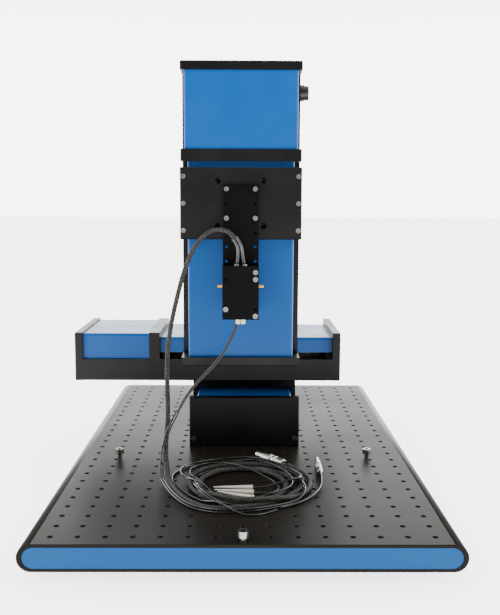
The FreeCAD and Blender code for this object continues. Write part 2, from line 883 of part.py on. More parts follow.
lead_middle_route = [V(-72.6, 174.9, 71.9), V(-80.6, 172.3, 57.5), V(-87.0, 170.0, 42.0),
                     V(-91.8, 167.3, 27.0), V(-92.2, 160.15, 15.6)]
lead_lower_route = [V(-92.2, 160.15, 15.6), V(-92.6, 153.0, 4.2), V(-88.6, 138.0, 2.4), V(-80.6, 115.5, 2.4),
                    V(-70.6, 94.0, 2.4), V(-58.6, 75.6, 2.4), V(-44.0, 61.8, 2.4), V(-28.5, 55.5, 2.4),
                    V(-13.0, 56.5, 2.4)]
coil_outline = [V(-72, 148, 0), V(-62, 112, 0), V(-46, 80, 0), V(-24, 58, 0), V(6, 49, 0), V(34, 60, 0),
                V(54, 87, 0), V(69, 113, 0), V(72, 136, 0), V(64, 165, 0), V(50, 197, 0), V(20, 200, 0),
                V(-12, 204, 0), V(-42, 197, 0), V(-64, 176, 0)]
coil_hole_centre = V(-4, 112, 0)


def cable_coil():
    outer = Part.BSplineCurve()
    outer.interpolate(Points=coil_outline, PeriodicFlag=True)
    hole = Part.Ellipse(coil_hole_centre, coil_hole_length, coil_hole_width)
    ring = Part.Face(Part.Wire(outer.toShape())).cut(Part.Face(Part.Wire(hole.toShape())))
    return ring.extrude(V(0, 0, coil_height))


def cable_reliefs():
    """Two grey tails from the head's collars to the sleeve's mouth, and the twin lead's bushing."""
    mouth = sleeve_upper_route[0]
    into = sleeve_upper_route[1] - mouth
    into.normalize()
    aside = into.cross(V(0, 1, 0))
    solids = []
    for point, side in zip(outlet_points(), (1, -1)):
        start = point + V(0, 0, outlet_height)
        end = mouth + aside * (side * tail_gap)
        route = [start, start + V(0, 0, tail_rise), end - into * tail_lead_in, end]
        solids.append(tube("cable_relief", route, tail_radius))
    down = V(0, 0, -1)
    solids.append(rod(lead_outlet_radius, lead_outlet_point(), down, lead_outlet_height))
    return solids


def cable(name, route, radius):
    """A stretch of cable that starts a little beyond the one before it, on another body."""
    ahead = route[1] - route[0]
    ahead.normalize()
    return tube(name, [route[0] + ahead * join_gap] + route[1:], radius)


def turned(outline, tip, angle, rise):
    """A solid turned about a level axis from its tip, by (along, radius) points."""
    face = flat_face([V(along, radius, 0) for along, radius in outline])
    solid = face.revolve(V(0, 0, 0), V(1, 0, 0), 360)
    solid.Placement = FreeCAD.Placement(V(tip[0], tip[1], rise), FreeCAD.Rotation(V(0, 0, 1), angle))
    return solid


def large_plug():
    outline = [(0, 0), (0, 3.4), (10, 3.4), (10, 4.4), (19, 5.2), (23, 5.2), (24, 4.6), (26, 4.6), (27, 4.9),
               (34, 4.9), (37, 4.0), (38, 3.2), (46, 2.6), (46, 0)]
    return turned(outline, (plug_tip_x, plug_tip_y), plug_angle, plug_rise)


def small_plug():
    outline = [(0, 0), (0, 2.4), (8, 2.4), (9, 3.2), (20, 3.7), (24, 3.7), (25, 3.1), (28, 3.1), (29, 3.5),
               (40, 3.5), (42, 2.8), (46, 2.2), (small_plug_length, 1.7), (small_plug_length, 0)]
    return turned(outline, (small_plug_tip_x, small_plug_tip_y), small_plug_angle, small_plug_rise)


def plug_lead_route():
    """From the small plug's tail to the coil's edge."""
    ahead = FreeCAD.Rotation(V(0, 0, 1), small_plug_angle).multVec(V(1, 0, 0))
    tail = V(small_plug_tip_x, small_plug_tip_y, small_plug_rise) + ahead * small_plug_length
    return [tail, tail + ahead * plug_lead_straight, V(81.2, 136.5, 2.2), V(78.4, 122.5, 1.7),
            V(71.0, 104.3, 1.6), V(58.6, 83.0, 1.6), V(45.5, 70.8, 1.6), V(34.5, 64.6, 1.6)]


def lead_clips():
    outline = [(0, 0), (0, clip_tip_radius), (clip_length, clip_tail_radius), (clip_length, 0)]
    places = ((-31.8, 123.2, -1.2), (-30.3, 115.3, -10.4), (-27.0, 110.2, -25.6))
    return [turned(outline, (x, y), angle, clip_rise) for x, y, angle in places]


# Everything together

y_place = stage_place(V(y_stage_x, y_stage_y, 0), V(0, 1, 0), V(0, 0, 1))
x_place = stage_place(V(x_stage_x, y_centre, x_stage_z), V(-1, 0, 0), V(0, 0, 1))
z_place = stage_place(V(x_centre, z_back_y, z_stage_z), V(0, 0, 1), V(0, -1, 0))

nodes = {
    "base_plate": [base_plate()],
    "front_strip": [front_strip()],
    "feet": feet(),
    "base_screws": base_screws() + placed(end_screws(), y_place),
}
for prefix, rest, place in (("y", y_rest, y_place), ("x", x_rest, x_place), ("z", z_rest, z_place)):
    for name, shapes in stage_pieces(rest).items():
        nodes[prefix + "_" + name] = placed(shapes, place)

nodes["y_carriage_screws"] = (placed(carriage_screws(bay_centre + y_rest), y_place)
                              + placed(end_screws(), x_place))
nodes["x_carriage_screws"] = (placed(carriage_screws(bay_centre + x_rest), x_place)
                              + placed(end_screws(), z_place) + bracket_screws())
nodes["z_carriage_screws"] = (placed(carriage_screws(bay_centre + z_rest), z_place)
                              + bar_screws() + head_screws())
nodes["angle_bracket"] = [angle_bracket()]
nodes["probe_bar"] = [probe_bar()]
nodes["head_box"] = [head_box()]
nodes["head_jacks"] = head_jacks()
nodes["head_collars"] = head_collars()
nodes["cable_reliefs"] = cable_reliefs()
nodes["sleeve_upper"] = [tube("sleeve_upper", sleeve_upper_route, sleeve_radius)]
nodes["sleeve_middle"] = [cable("sleeve_middle", sleeve_middle_route, sleeve_radius)]
nodes["sleeve_lower"] = [cable("sleeve_lower", sleeve_lower_route, sleeve_radius)]
nodes["lead_upper"] = [tube("lead_upper", lead_upper_route, lead_radius)]
nodes["lead_middle"] = [cable("lead_middle", lead_middle_route, lead_radius)]
nodes["lead_lower"] = [cable("lead_lower", lead_lower_route, lead_radius)]
nodes["plug_lead"] = [tube("plug_lead", plug_lead_route(), plug_lead_radius)]
nodes["cable_coil"] = [cable_coil()]
nodes["large_plug"] = [large_plug()]
nodes["small_plug"] = [small_plug()]
nodes["lead_clips"] = lead_clips()

# The origin is the middle of the bottom, from the left end of the left-right stage to the plate's
# right edge, from the plate's front face to its rear one, and at the feet.
x_stage_left = x_stage_x - stage_length
origin = V((x_stage_left + plate_width / 2) / 2, (plate_front_y + plate_rear_y) / 2,
           -plate_thickness - foot_height)
print("origin in the plate's frame", origin)

os.makedirs("parts", exist_ok=True)
for name, shapes in nodes.items():
    whole = shapes[0] if len(shapes) == 1 else Part.makeCompound(shapes)
    whole = whole.copy()
    whole.translate(-origin)
    if not whole.isValid() or any(solid.Volume <= 0 for solid in whole.Solids):
        print("check", name, whole.isValid(), [round(solid.Volume) for solid in whole.Solids])
    whole.exportStep("parts/" + name + ".step")
print(len(nodes), "nodes")
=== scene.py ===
"""Looks of the electrochemical workstation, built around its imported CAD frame."""
import json
import math

import bmesh
import bpy
from mathutils import Matrix, Vector


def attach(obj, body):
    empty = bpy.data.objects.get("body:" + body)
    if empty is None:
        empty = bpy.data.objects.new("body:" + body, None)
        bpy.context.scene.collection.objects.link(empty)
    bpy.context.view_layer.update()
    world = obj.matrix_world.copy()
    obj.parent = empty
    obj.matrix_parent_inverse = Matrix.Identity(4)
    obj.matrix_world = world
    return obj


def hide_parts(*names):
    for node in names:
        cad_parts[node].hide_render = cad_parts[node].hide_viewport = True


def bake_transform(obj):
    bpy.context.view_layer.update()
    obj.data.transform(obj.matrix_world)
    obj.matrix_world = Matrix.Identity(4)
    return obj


MM = 0.001

# The row's origin in the plate's own frame, in mm. That frame has X to the right from the middle
# column of holes, Y to the back from the front row and Z up from the plate's top face.
ORIGIN = Vector((-7.925, 303.0, -38.0))


def at(x, y, z):
    """A point given in the plate's frame in mm, as a point of the row's frame in metres."""
    return (Vector((x, y, z)) - ORIGIN) * MM


def add_object(name, data):
    thing = bpy.data.objects.new(name, data)
    bpy.context.scene.collection.objects.link(thing)
    return thing


def add_piece(name, bm):
    """The object that a finished bmesh makes."""
    mesh = bpy.data.meshes.new(name)
    bm.to_mesh(mesh)
    bm.free()
    return add_object(name, mesh)


def fit(piece, material, body, node=None):
    """Gives a piece its material, hides the node it replaces and attaches it to what it rides on.
    """
    piece.data.materials.append(material)
    if node:
        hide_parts(node)
    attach(piece, body)


# Camera: turns in degrees, lens in mm and place in the plate's frame in mm

CAMERA_YAW = 0.4409
CAMERA_PITCH = 7.2786
CAMERA_ROLL = -0.2319
CAMERA_LENS = 47.52
CAMERA_SENSOR = 36.0
CAMERA_PLACE = (0.021, -704.75, 300.074)
CAMERA_REACH = 20.0


def add_camera():
    """The photograph's camera, solved from the grid of holes."""
    yaw, pitch, roll = (math.radians(turn) for turn in (CAMERA_YAW, CAMERA_PITCH, CAMERA_ROLL))
    right = Vector((math.cos(yaw), -math.sin(yaw), 0))
    forward = Vector((math.sin(yaw) * math.cos(pitch), math.cos(yaw) * math.cos(pitch),
                      -math.sin(pitch)))
    up = right.cross(forward)
    across = right * math.cos(roll) - up * math.sin(roll)
    upright = right * math.sin(roll) + up * math.cos(roll)
    data = bpy.data.cameras.new("camera")
    data.lens = CAMERA_LENS
    data.sensor_width = CAMERA_SENSOR
    data.clip_end = CAMERA_REACH
    camera = add_object("camera", data)
    turn = Matrix((across, upright, -forward)).transposed().to_4x4()
    camera.matrix_world = Matrix.Translation(at(*CAMERA_PLACE)) @ turn
    bpy.context.scene.camera = camera


# Materials

# The stretch of a noise that holds nearly all its values
NOISE_LOW = 0.25
NOISE_HIGH = 0.75

BRAID_STARTS = 6
BRAID_CROSSINGS_PER_METRE = 340
BRAID_STRAND_ABOVE = 0.46
# The braid's dark strand colour, and the painted highlight put on its raised strands
BRAID_DARK = (0.0015, 0.0015, 0.0015)
BRAID_HIGHLIGHT = (0.24, 0.23, 0.205)

# Each surface's darkest and lightest colour, its range of roughness, its grain per metre, and what
# differs from the usual
LOOKS = {
    "black_anodised": ((0.0018, 0.0018, 0.0019), (0.0030, 0.0029, 0.0029), (0.32, 0.42), 2600,
                       {"bump": 0.12, "specular": 0.2}),
    "plate_anodised": ((0.0066, 0.0056, 0.0042), (0.0100, 0.0086, 0.0066), (0.30, 0.38), 2600,
                       {"patch": 14, "bump": 0.15, "specular": 0.1, "tint": (1.0, 0.95, 0.88),
                        "ior": 1.33}),
    "blue_paint": ((0.0003, 0.060, 0.238), (0.0004, 0.065, 0.252), (0.28, 0.36), 900,
                   {"bump": 0.12, "specular": 0.2}),
    "blue_strip": ((0.0006, 0.052, 0.168), (0.0008, 0.055, 0.178), (0.30, 0.40), 900,
                   {"bump": 0.1, "specular": 0.12}),
    "head_black": ((0.0012, 0.0012, 0.0013), (0.0020, 0.0020, 0.0020), (0.42, 0.52), 2600,
                   {"bump": 0.12, "specular": 0.06}),
    "steel": ((0.40, 0.39, 0.37), (0.5, 0.49, 0.47), (0.25, 0.38), 1500, {"metal": 1.0}),
    "screws": ((0.20, 0.19, 0.165), (0.31, 0.295, 0.26), (0.22, 0.34), 2500,
               {"metal": 1.0, "patch": 400}),
    "nickel": ((0.46, 0.45, 0.425), (0.58, 0.565, 0.535), (0.26, 0.38), 1500,
               {"metal": 1.0, "patch": 200}),
    "collar_nickel": ((0.33, 0.29, 0.24), (0.46, 0.415, 0.355), (0.22, 0.34), 1500,
                      {"metal": 1.0, "patch": 200}),
    "brass": ((0.60, 0.36, 0.09), (0.76, 0.48, 0.14), (0.16, 0.3), 1500,
              {"metal": 1.0, "patch": 500}),
    "motor_black": ((0.01, 0.01, 0.01), (0.02, 0.02, 0.02), (0.35, 0.5), 1200, {}),
    "connector_black": ((0.006, 0.006, 0.006), (0.010, 0.010, 0.010), (0.3, 0.42), 1800, {}),
    "feet_rubber": ((0.008, 0.008, 0.008), (0.014, 0.014, 0.013), (0.6, 0.8), 1500, {"bump": 0.4}),
    "relief_grey": ((0.010, 0.010, 0.0105), (0.018, 0.018, 0.018), (0.10, 0.16), 1400,
                    {"bump": 0.1}),
    "lead_black": ((0.006, 0.0058, 0.0055), (0.011, 0.0105, 0.010), (0.13, 0.2), 900, {}),
    "clip_cream": ((0.34, 0.325, 0.27), (0.45, 0.435, 0.37), (0.4, 0.55), 1200, {"patch": 150}),
}


def new_material(name):
    material = bpy.data.materials.new(name)
    material.use_nodes = True
    tree = material.node_tree
    return material, tree, tree.nodes["Principled BSDF"]


def object_noise(tree, scale, detail=2.0):
    """Noise over the object's own coordinates; scale is in features per metre."""
    place = tree.nodes.new("ShaderNodeTexCoord")
    noise = tree.nodes.new("ShaderNodeTexNoise")
    noise.inputs["Scale"].default_value = scale
    noise.inputs["Detail"].default_value = detail
    tree.links.new(place.outputs["Object"], noise.inputs["Vector"])
    return noise


def ranged(tree, value, low, high):
    """A noise's value spread from low to high."""
    node = tree.nodes.new("ShaderNodeMapRange")
    node.inputs["From Min"].default_value = NOISE_LOW
    node.inputs["From Max"].default_value = NOISE_HIGH
    node.inputs["To Min"].default_value = low
    node.inputs["To Max"].default_value = high
    tree.links.new(value, node.inputs["Value"])
    return node.outputs["Result"]


def mixed(tree, factor, first, second):
    ramp = tree.nodes.new("ShaderNodeMix")
    ramp.data_type = "RGBA"
    ramp.inputs["A"].default_value = (*first, 1)
    ramp.inputs["B"].default_value = (*second, 1)
    tree.links.new(factor, ramp.inputs["Factor"])
    return ramp.outputs["Result"]


def bumped(tree, shader, height, strength, distance):
    bump = tree.nodes.new("ShaderNodeBump")
    bump.inputs["Strength"].default_value = strength
    bump.inputs["Distance"].default_value = distance
    tree.links.new(height, bump.inputs["Height"])
    tree.links.new(bump.outputs["Normal"], shader.inputs["Normal"])


def surface(name, dark, light, rough, grain, metal=0.0, patch=30.0, bump=0.3, specular=0.5,
            tint=(1.0, 1.0, 1.0), ior=None):
    """A surface with broad colour and roughness variation and a fine grain."""
    material, tree, shader = new_material(name)
    shader.inputs["Metallic"].default_value = metal
    shader.inputs["Specular IOR Level"].default_value = specular
    shader.inputs["Specular Tint"].default_value = (*tint, 1)
    if ior:
        shader.inputs["IOR"].default_value = ior
    broad = object_noise(tree, patch, 3.0)
    fine = object_noise(tree, grain)
    colour = mixed(tree, ranged(tree, broad.outputs["Fac"], 0, 1), dark, light)
    tree.links.new(colour, shader.inputs["Base Color"])
    tree.links.new(ranged(tree, broad.outputs["Fac"], *rough), shader.inputs["Roughness"])
    bumped(tree, shader, fine.outputs["Fac"], bump, 0.05 * MM)
    return material


def braid_material():
    """Crossing dark strands with a painted highlight on the raised ones, from the tube's own
    coordinates: x round it, y along it.
    """
    material, tree, shader = new_material("braid")
    place = tree.nodes.new("ShaderNodeUVMap")
    place.uv_map = "along"
    split = tree.nodes.new("ShaderNodeSeparateXYZ")
    tree.links.new(place.outputs["UV"], split.inputs["Vector"])

    def arithmetic(kind, first, second):
        node = tree.nodes.new("ShaderNodeMath")
        node.operation = kind
        for socket, value in zip(node.inputs, (first, second)):
            if isinstance(value, (int, float)):
                socket.default_value = value
            elif value is not None:
                tree.links.new(value, socket)
        return node.outputs["Value"]

    round_it = arithmetic("MULTIPLY", split.outputs["X"], 2 * math.pi * BRAID_STARTS)
    along = arithmetic("MULTIPLY", split.outputs["Y"], 2 * math.pi * BRAID_CROSSINGS_PER_METRE)
    one = arithmetic("SINE", arithmetic("ADD", round_it, along), None)
    other = arithmetic("SINE", arithmetic("SUBTRACT", round_it, along), None)
    weave = arithmetic("MULTIPLY", one, other)
    height = arithmetic("MULTIPLY_ADD", weave, 0.5)
    height.node.inputs[2].default_value = 0.5
    # The raised strands get a painted highlight, its strength varied by a noise
    strand = arithmetic("GREATER_THAN", weave, BRAID_STRAND_ABOVE)
    highlight_noise = object_noise(tree, 700)
    light = arithmetic("MULTIPLY", strand, ranged(tree, highlight_noise.outputs["Fac"], 0.25, 1.0))
    tree.links.new(mixed(tree, light, BRAID_DARK, BRAID_HIGHLIGHT), shader.inputs["Base Color"])
    shader.inputs["Roughness"].default_value = 0.6
    shader.inputs["Specular IOR Level"].default_value = 0.08
    bumped(tree, shader, height, 0.4, 0.2 * MM)
    return material


def make_materials():
    materials = {name: surface(name, *look[:-1], **look[-1]) for name, look in LOOKS.items()}
    materials["braid"] = braid_material()
    return materials


# Cables: smooth splines through the route's control points, and meshes along them

def spline_points(route):
    """Points along the NURBS spline with the route's points, in mm, as control points."""
    data = bpy.data.curves.new("route", "CURVE")
    data.dimensions = "3D"
    data.resolution_u = 8
    spline = data.splines.new("NURBS")
    spline.points.add(len(route) - 1)
    for point, place in zip(spline.points, route):
        point.co = (*at(*place), 1)
    spline.order_u = 3
    spline.use_endpoint_u = True
    holder = add_object("route", data)
    bpy.context.view_layer.update()
    mesh = bpy.data.meshes.new_from_object(holder)
    points = [vertex.co.copy() for vertex in mesh.vertices]
    bpy.data.objects.remove(holder)
    bpy.data.curves.remove(data)
    bpy.data.meshes.remove(mesh)
    return points


def frames_along(points, twist):
    """At each point two directions across the path, which turn only by the twist per metre."""
    frames = []
    side = None
    travelled = 0.0
    for i, point in enumerate(points):
        ahead = (points[min(i + 1, len(points) - 1)] - points[max(i - 1, 0)]).normalized()
        if side is None:
            side = ahead.cross(Vector((0, 1, 0))).normalized()
        side = (side - ahead * side.dot(ahead)).normalized()
        travelled += (point - points[i - 1]).length if i else 0.0
        turned = Matrix.Rotation(twist * travelled, 3, ahead) @ side
        frames.append((point, turned, ahead.cross(turned)))
    return frames


def tube_mesh(name, frames, strands, sides=12):
    """A mesh of round strands along the frames; strands are (offset, radius) pairs in mm."""
    bm = bmesh.new()
    uv = bm.loops.layers.uv.new("along")
    lengths = [0.0]
    for (a, _, _), (b, _, _) in zip(frames, frames[1:]):
        lengths.append(lengths[-1] + (b - a).length)
    for offset, radius in strands:
        rings = []
        for place, side, other in frames:
            middle = place + side * offset * MM
            ring = []
            for i in range(sides):
                angle = 2 * math.pi * i / sides
                outward = side * math.cos(angle) + other * math.sin(angle)
                ring.append(bm.verts.new(middle + outward * radius * MM))
            rings.append(ring)
        for row, (first, second) in enumerate(zip(rings, rings[1:])):
            for i in range(sides):
                j = (i + 1) % sides
                face = bm.faces.new((first[i], first[j], second[j], second[i]))
                face.smooth = True
                corners = ((i, row), (i + 1, row), (i + 1, row + 1), (i, row + 1))
                for loop, (u, v) in zip(face.loops, corners):
                    loop[uv].uv = (u / sides, lengths[v])
        bm.faces.new(list(reversed(rings[0])))
        bm.faces.new(rings[-1])
    return add_piece(name, bm)


# Each kind of cable's strands, as (offset, radius) in mm, and the twin lead's twist in radians
# per metre
SLEEVE = [(0.0, 2.6)]
TWIN = [(-1.25, 0.95), (1.25, 0.95)]
SINGLE = [(0.0, 0.95)]
PLUG_STRAND = [(0.0, 1.15)]
TAIL = [(0.0, 1.9)]
TWIN_TWIST = 9.0

# The cables' routes in the plate's frame, in mm, close to those of the part's source. Each stretch
# starts where the one before it ends.
SLEEVE_UPPER = [
    (-9.8, 182.3, 262.6), (-14.0, 181.6, 267.6), (-20.0, 180.9, 271.0), (-27.5, 180.0, 272.7),
    (-36.2, 179.0, 270.8), (-45.3, 178.2, 264.3), (-55.5, 177.6, 251.0), (-66.0, 177.2, 225.0),
    (-73.2, 177.0, 197.5), (-79.5, 176.8, 170.4), (-83.6, 176.5, 142.0), (-84.8, 176.4, 114.0),
    (-84.2, 176.6, 88.0)]
SLEEVE_MIDDLE = [
    (-84.2, 176.6, 88.0), (-83.7, 176.8, 67.0), (-85.6, 176.0, 46.0), (-86.6, 172.0, 27.0),
    (-84.5, 162.0, 16.7)]
SLEEVE_LOWER = [
    (-84.5, 162.0, 16.7), (-82.4, 152.0, 6.4), (-77.5, 136.0, 2.9), (-70.5, 113.0, 2.8),
    (-61.0, 92.0, 2.8), (-51.5, 77.5, 2.8), (-40.0, 67.3, 2.8), (-27.0, 61.8, 2.8)]
LEAD_UPPER = [
    (-8.15, 194.6, 171.1), (-8.15, 194.6, 163.0), (-13.6, 192.3, 152.0), (-20.0, 189.5, 138.5),
    (-29.5, 186.5, 125.0), (-41.5, 184.0, 112.5), (-54.0, 180.7, 99.8), (-64.6, 177.5, 86.3),
    (-72.6, 174.9, 71.9)]
LEAD_MIDDLE = [
    (-72.6, 174.9, 71.9), (-80.6, 172.3, 57.5), (-86.2, 170.0, 42.0), (-89.8, 167.3, 27.0),
    (-89.8, 160.4, 15.6)]
LEAD_LOWER = [
    (-89.8, 160.4, 15.6), (-89.8, 153.5, 4.2), (-84.6, 137.0, 2.4), (-75.8, 111.3, 2.4),
    (-65.8, 89.4, 2.4), (-55.6, 73.6, 2.4), (-42.9, 62.5, 2.4), (-27.4, 56.4, 2.4)]
PLUG_LEAD = [
    (85.4, 163.5, 4.0), (85.3, 155.5, 4.0), (85.2, 149.5, 4.0), (84.3, 138.0, 2.2),
    (81.2, 123.0, 1.7), (73.5, 104.3, 1.6), (61.0, 85.5, 1.6), (47.5, 74.0, 1.6), (36.5, 68.0, 1.6)]

PLUG_TAIL = (48.5, 190.7, 5.5)
LEAD_FRONT = [(-13.5, 56.4, 2.4), (0.0, 58.2, 2.4), (13.0, 61.2, 2.4), (26.0, 66.5, 2.4)]

# The coil's turns, as (angle in degrees, radius, height) about a point in the coil. A spline runs
# inside its control points, which lie further out by this share.
COIL_MIDDLE = (-2.0, 131.0)
SPLINE_SHRINK = 0.966
SLEEVE_TURNS = [
    (270, 64.5, 3.2), (300, 62, 3.2), (330, 60, 3.2), (360, 65, 3.2), (390, 70, 3.2),
    (420, 71, 3.2), (450, 68, 3.2), (480, 67, 3.2), (510, 62, 3.2), (540, 54, 3.2), (570, 52, 3.2),
    (600, 54.5, 3.2), (630, 54, 3.2), (660, 52, 3.2), (690, 49, 3.2), (720, 47, 3.2),
    (750, 47, 3.2), (780, 49, 3.2), (810, 51, 3.2), (840, 50, 3.2), (870, 47, 3.2), (900, 44, 3.2),
    (930, 45, 3.4), (952, 48, 6.5), (972, 55, 9.8), (990, 59.5, 9.6), (1006, 62, 9.8),
    (1020, 64, 9.2), (1036, 66.5, 6.0), (1050, 67.5, 3.4), (1065, 69.3, 3.2), (1080.8, 71.3, 3.2),
    (1090.7, 72.9, 3.2), (1100, 73.9, 3.2), (1108.5, 74.3, 3.5), (1116.4, 74.5, 4.3),
    (1123.9, 74.9, 5.2)]
TWIN_TURNS = [
    (312, 70.5, 2.5), (322, 72.5, 4.0), (331, 71.5, 7.6), (340, 67.5, 9.2), (350, 62.5, 8.8),
    (362, 58.5, 6.0), (378, 57, 2.8), (400, 58, 2.5), (430, 60, 2.5), (460, 59.5, 2.5),
    (490, 58, 2.5), (518, 54, 2.6), (545, 48.5, 5.2), (564, 48, 8.8), (580, 53, 9.4),
    (592, 56, 8.6), (602, 58.5, 6.6), (614, 60, 2.8), (628, 59.5, 2.4)]
CLIP_LEADS = [
    [(10.2, 122.3, 2.8), (22, 121.0, 3.4), (34, 120.5, 7.4), (46, 121.5, 10.6), (56, 124, 12.4),
     (61.5, 131, 11.2), (63, 142, 8.8), (60, 154, 8.2), (53, 167, 8.2), (42, 181, 9.0),
     (26, 194, 10.8), (6, 202, 10.8), (-16, 204, 9.2), (-38, 198, 8.4), (-56, 188, 8.4),
     (-67, 174, 8.4), (-69, 157, 8.4), (-65, 142, 8.6), (-58.5, 130, 9.6), (-52, 120, 12.6),
     (-43, 109, 12.6), (-34, 99.5, 8.0), (-25, 92.0, 4.0), (-14, 87.0, 1.6), (-2, 84.5, 1.1),
     (10, 83.5, 1.1)],
    [(11.1, 107.7, 2.8), (22, 105.5, 2.8), (31, 106.0, 3.2), (37, 115, 3.0), (37.5, 128, 3.0),
     (32, 143, 3.4), (22, 156, 4.4), (11, 168, 6.4), (-2, 177, 8.4), (-16, 185, 8.6),
     (-30, 188, 8.6), (-44, 185, 8.4), (-55, 175, 8.2), (-59, 160, 8.4), (-56, 145, 8.4),
     (-48.5, 131, 9.2), (-40.5, 120, 7.4), (-36, 111, 3.4), (-31.5, 103, 1.1), (-26, 98.0, 1.1)],
    [(11.6, 91.6, 2.8), (19, 89.5, 4.4), (27, 90.5, 8.2), (36, 95, 8.6), (44.5, 103, 8.4),
     (50, 113, 8.2), (52.5, 125, 7.8), (52, 139, 7.8), (49, 152, 8.2), (44, 165, 8.4),
     (37, 177, 8.6), (27, 189.5, 8.8), (12, 203, 7.8), (-6, 209.5, 3.6), (-24, 211, 1.3),
     (-42, 208, 1.1), (-58, 200, 1.1), (-71, 186, 1.1), (-78, 167, 1.1), (-77, 149, 1.1),
     (-72, 134, 1.1), (-65.5, 120, 1.1), (-58, 107, 1.1), (-50, 96, 1.1), (-41.5, 85.5, 1.6),
     (-34, 75.5, 5.2), (-27, 66.5, 8.6), (-19, 58.5, 8.6), (-9, 52.0, 4.6), (3, 48.5, 1.1),
     (15, 50.0, 1.1), (25.5, 56, 1.1), (33.5, 64, 1.1)],
]
CLIP_LEAD_LENGTHS = (0.371, 0.253, 0.452)


def coil_route(turns):
    """Points of turns given as (angle, radius, height)."""
    route = []
    for angle, radius, height in turns:
        reach = radius / SPLINE_SHRINK
        turn = math.radians(angle)
        route.append((COIL_MIDDLE[0] + reach * math.cos(turn),
                      COIL_MIDDLE[1] + reach * math.sin(turn), height))
    return route


def add_cable(name, points, frames, strands, node):
    piece = tube_mesh(name, frames, strands)
    if node:
        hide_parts(node)
    return piece, points


def add_whole_cable(name, route, strands, node=None, twist=0.0):
    points = spline_points(route)
    return add_cable(name, points, frames_along(points, twist), strands, node)


def add_laid_cable(names, hanging, laid, strands, nodes, twist=0.0):
    """A cable in two pieces that meet at the last of the hanging route's points: one comes down to
    the plate and one lies on it."""
    points = spline_points(hanging + laid)
    frames = frames_along(points, twist)
    cut = min(range(len(points)), key=lambda i: (points[i] - at(*hanging[-1])).length)
    return [add_cable(name, points[part], frames[part], strands, node)
            for name, node, part in zip(names, nodes, (slice(0, cut + 1), slice(cut, None)))]


def finish_cable(piece, materials, material, bodies, bend=None):
    """Gives a cable its material and attaches it to its body; one joining two bodies is baked in
    place."""
    piece.data.materials.append(materials[material])
    if bend:
        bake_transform(piece)
    else:
        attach(piece, *bodies)


def add_cables(materials):
    """The sleeve and the twin lead in four stretches each, and the leads of the plug and clips."""
    upper, middle = ("z_carriage", "x_carriage"), ("x_carriage", "y_carriage")
    lower = ("y_carriage", "base")
    for name, route, node, length, bodies, bend in (
            ("sleeve_upper_braid", SLEEVE_UPPER, "sleeve_upper", 0.2245, upper,
             ((-46, 178, 263), (-84.3, 176.5, 90))),
            ("sleeve_middle_braid", SLEEVE_MIDDLE, "sleeve_middle", 0.0753, middle,
             ((-84, 170, 86), (-84, 170, 18)))):
        piece, points = add_whole_cable(name, route, SLEEVE, node)
        finish_cable(piece, materials, "braid", bodies, bend)
    (piece, points), (coil, laid) = add_laid_cable(
        ("sleeve_lower_braid", "sleeve_coil_braid"), SLEEVE_LOWER,
        coil_route(SLEEVE_TURNS) + [PLUG_TAIL], SLEEVE, ("sleeve_lower", "cable_coil"))
    finish_cable(piece, materials, "braid", lower, ((-84, 110, 5), (-42, 110, 5)))
    finish_cable(coil, materials, "braid", ("base",))

    for name, route, node, length, bodies, bend in (
            ("lead_upper_twin", LEAD_UPPER, "lead_upper", 0.122, upper,
             ((-9, 185, 120), (-72, 185, 120))),
            ("lead_middle_twin", LEAD_MIDDLE, "lead_middle", 0.0619, middle,
             ((-82, 168, 70), (-82, 168, 17)))):
        piece, points = add_whole_cable(name, route, TWIN, node, TWIN_TWIST)
        finish_cable(piece, materials, "lead_black", bodies, bend)
    (piece, points), (coil, laid) = add_laid_cable(
        ("lead_lower_twin", "lead_coil_twin"), LEAD_LOWER, LEAD_FRONT + coil_route(TWIN_TURNS),
        TWIN, ("lead_lower", None), TWIN_TWIST)
    finish_cable(piece, materials, "lead_black", lower, ((-89, 110, 5), (-44, 110, 5)))
    finish_cable(coil, materials, "lead_black", ("base",))

    piece, points = add_whole_cable("small_plug_lead", PLUG_LEAD[::-1], PLUG_STRAND, "plug_lead")
    finish_cable(piece, materials, "lead_black", ("base",))
    for number, (route, length) in enumerate(zip(CLIP_LEADS, CLIP_LEAD_LENGTHS)):
        piece, points = add_whole_cable(f"clip_lead_{number + 1}", route[::-1], SINGLE)
        finish_cable(piece, materials, "lead_black", ("base",))


# Plugs and clips, turned about level axes

def turned_mesh(name, outline, tip, angle, sides=32):
    """A piece turned from (along, radius) points in mm, laid level from tip along the angle."""
    bm = bmesh.new()
    ahead = Vector((math.cos(math.radians(angle)), math.sin(math.radians(angle)), 0))
    side = Vector((-ahead.y, ahead.x, 0))
    turns = [2 * math.pi * i / sides for i in range(sides)]
    outward = [side * math.cos(turn) + Vector((0, 0, math.sin(turn))) for turn in turns]
    rings = []
    for along, radius in outline:
        middle = at(*tip) + ahead * along * MM
        around = outward if radius else [Vector()]
        rings.append([bm.verts.new(middle + out * radius * MM) for out in around])
    for first, second in zip(rings, rings[1:]):
        for i in range(sides):
            j = (i + 1) % sides
            corners = (first[i % len(first)], first[j % len(first)],
                       second[j % len(second)], second[i % len(second)])
            face = bm.faces.new(list(dict.fromkeys(corners)))
            face.smooth = True
    bmesh.ops.recalc_face_normals(bm, faces=bm.faces)
    piece = add_piece(name, bm)
    sharpen(piece)
    return piece


def sharpen(piece, degrees=30):
    """Keeps edges sharp where faces meet at more than the given angle."""
    mesh = piece.data
    bm = bmesh.new()
    bm.from_mesh(mesh)
    for edge in bm.edges:
        edge.smooth = edge.calc_face_angle(0.0) < math.radians(degrees)
    bm.to_mesh(mesh)
    bm.free()


def grooved(start, end, radius, depth, count):
    """An outline's stretch with small grooves, from start to end."""
    points = []
    step = (end - start) / count
    for i in range(count):
        left = start + i * step
        points += [(left, radius), (left + 0.55 * step, radius),
                   (left + 0.6 * step, radius - depth), (left + 0.95 * step, radius - depth)]
    return points + [(end, radius)]


